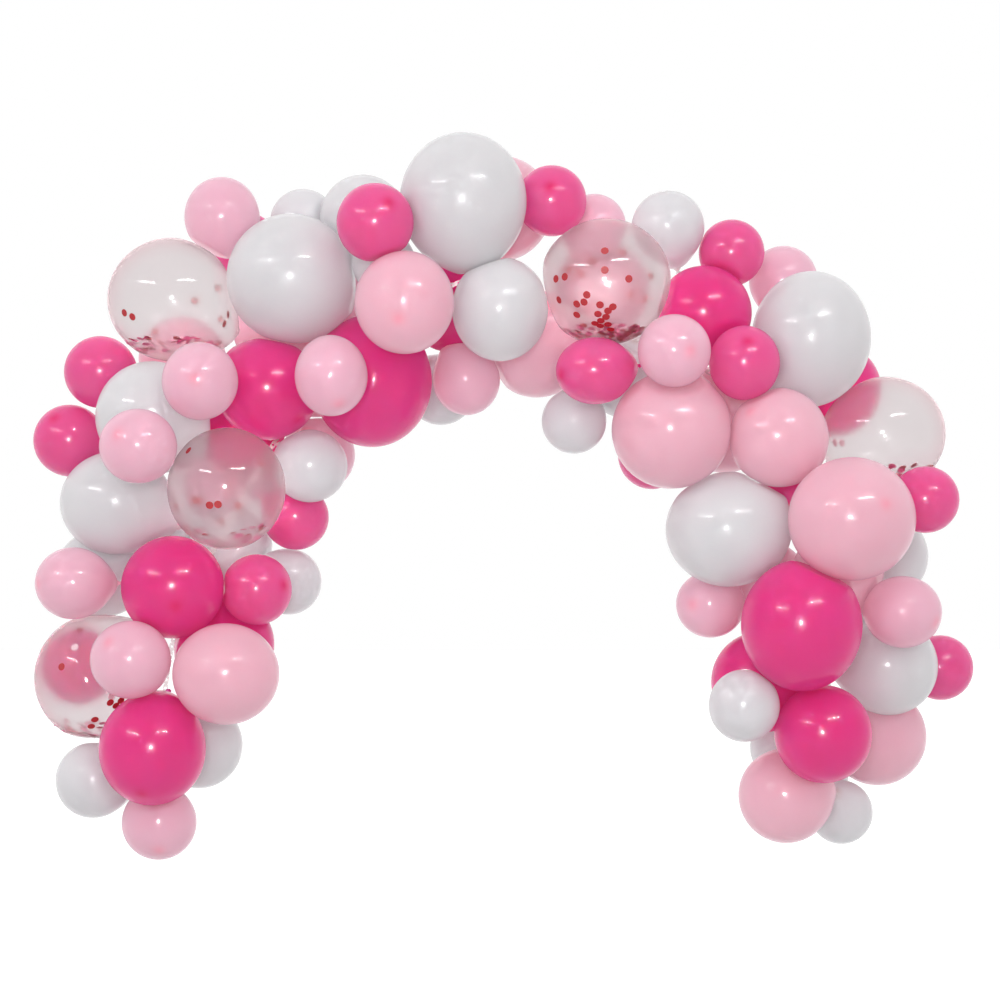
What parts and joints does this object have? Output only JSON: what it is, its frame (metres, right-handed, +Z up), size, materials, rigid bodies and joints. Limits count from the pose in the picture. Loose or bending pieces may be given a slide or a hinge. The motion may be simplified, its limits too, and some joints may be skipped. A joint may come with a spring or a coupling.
{
  "type": "balloon garland arch",
  "caption": "Arch of tied latex balloons in hot pink, light pink, white and clear with confetti, clustered on a clear plastic strip, to be hung by its crown.",
  "frame": {"origin": "crown of the plastic strip, where the arch is hung", "axes": "+X to the right seen from the front, along the width; +Y to the back; +Z up"},
  "size_m": [2.4131, 0.7966, 1.7923],
  "materials": {
    "hot_pink": "glossy latex",
    "light_pink": "glossy latex",
    "white": "glossy latex",
    "clear": "clear latex with paper confetti inside",
    "strip": "clear plastic"
  },
  "bodies": {
    "root": {"left_foot_hot_pink": "hot_pink", "left_foot_pink": "light_pink", "left_foot_white_outer": "white", "left_foot_white_inner": "white", "left_knee_clear": "clear", "left_knee_hot_pink_behind_clear": "hot_pink", "left_knee_pink_front": "light_pink", "left_knee_pink_outer": "light_pink", "left_knee_hot_pink_trio": "hot_pink", "left_knee_pink_inner": "light_pink", "left_knee_white_trio": "white", "left_shoulder_hot_pink_inner": "hot_pink", "left_shoulder_clear": "clear", "left_shoulder_white_inner": "white", "left_shoulder_pink_trio": "light_pink", "left_shoulder_pink_front": "light_pink", "left_shoulder_white_trio": "white", "left_shoulder_hot_pink_outer": "hot_pink", "left_shoulder_hot_pink_high": "hot_pink", "left_top_pink_front": "light_pink", "left_top_clear": "clear", "left_top_pink_low": "light_pink", "left_top_pink_high": "light_pink", "left_top_hot_pink_high": "hot_pink", "left_top_white_cluster": "white", "left_top_pink_trio": "light_pink", "left_top_hot_pink_trio": "hot_pink", "left_top_pink_small": "light_pink", "crown_hot_pink_left": "hot_pink", "crown_white": "white", "crown_pink_back": "light_pink", "crown_hot_pink_right": "hot_pink", "crown_pink_front": "light_pink", "crown_white_low": "white", "crown_hot_pink_low": "hot_pink", "crown_white_inner": "white", "crown_pink_quartet": "light_pink", "right_top_clear": "clear", "right_top_white": "white", "right_top_hot_pink_front": "hot_pink", "right_top_white_pair": "white", "right_top_hot_pink_trio": "hot_pink", "right_top_pink": "light_pink", "right_shoulder_white": "white", "right_shoulder_pink_quartet": "light_pink", "right_shoulder_hot_pink_low": "hot_pink", "right_shoulder_clear": "clear", "right_shoulder_hot_pink_back": "hot_pink", "right_knee_pink_cluster": "light_pink", "right_knee_hot_pink_outer": "hot_pink", "right_knee_white_inner": "white", "right_knee_hot_pink_back": "hot_pink", "right_knee_white_trio": "white", "right_knee_hot_pink_trio": "hot_pink", "right_foot_hot_pink_outer": "hot_pink", "right_foot_pink_back": "light_pink", "right_foot_white_front": "white", "right_foot_white_trio": "white", "right_foot_pink": "light_pink", "balloon_strip": "strip"}
  },
  "joints": []
}
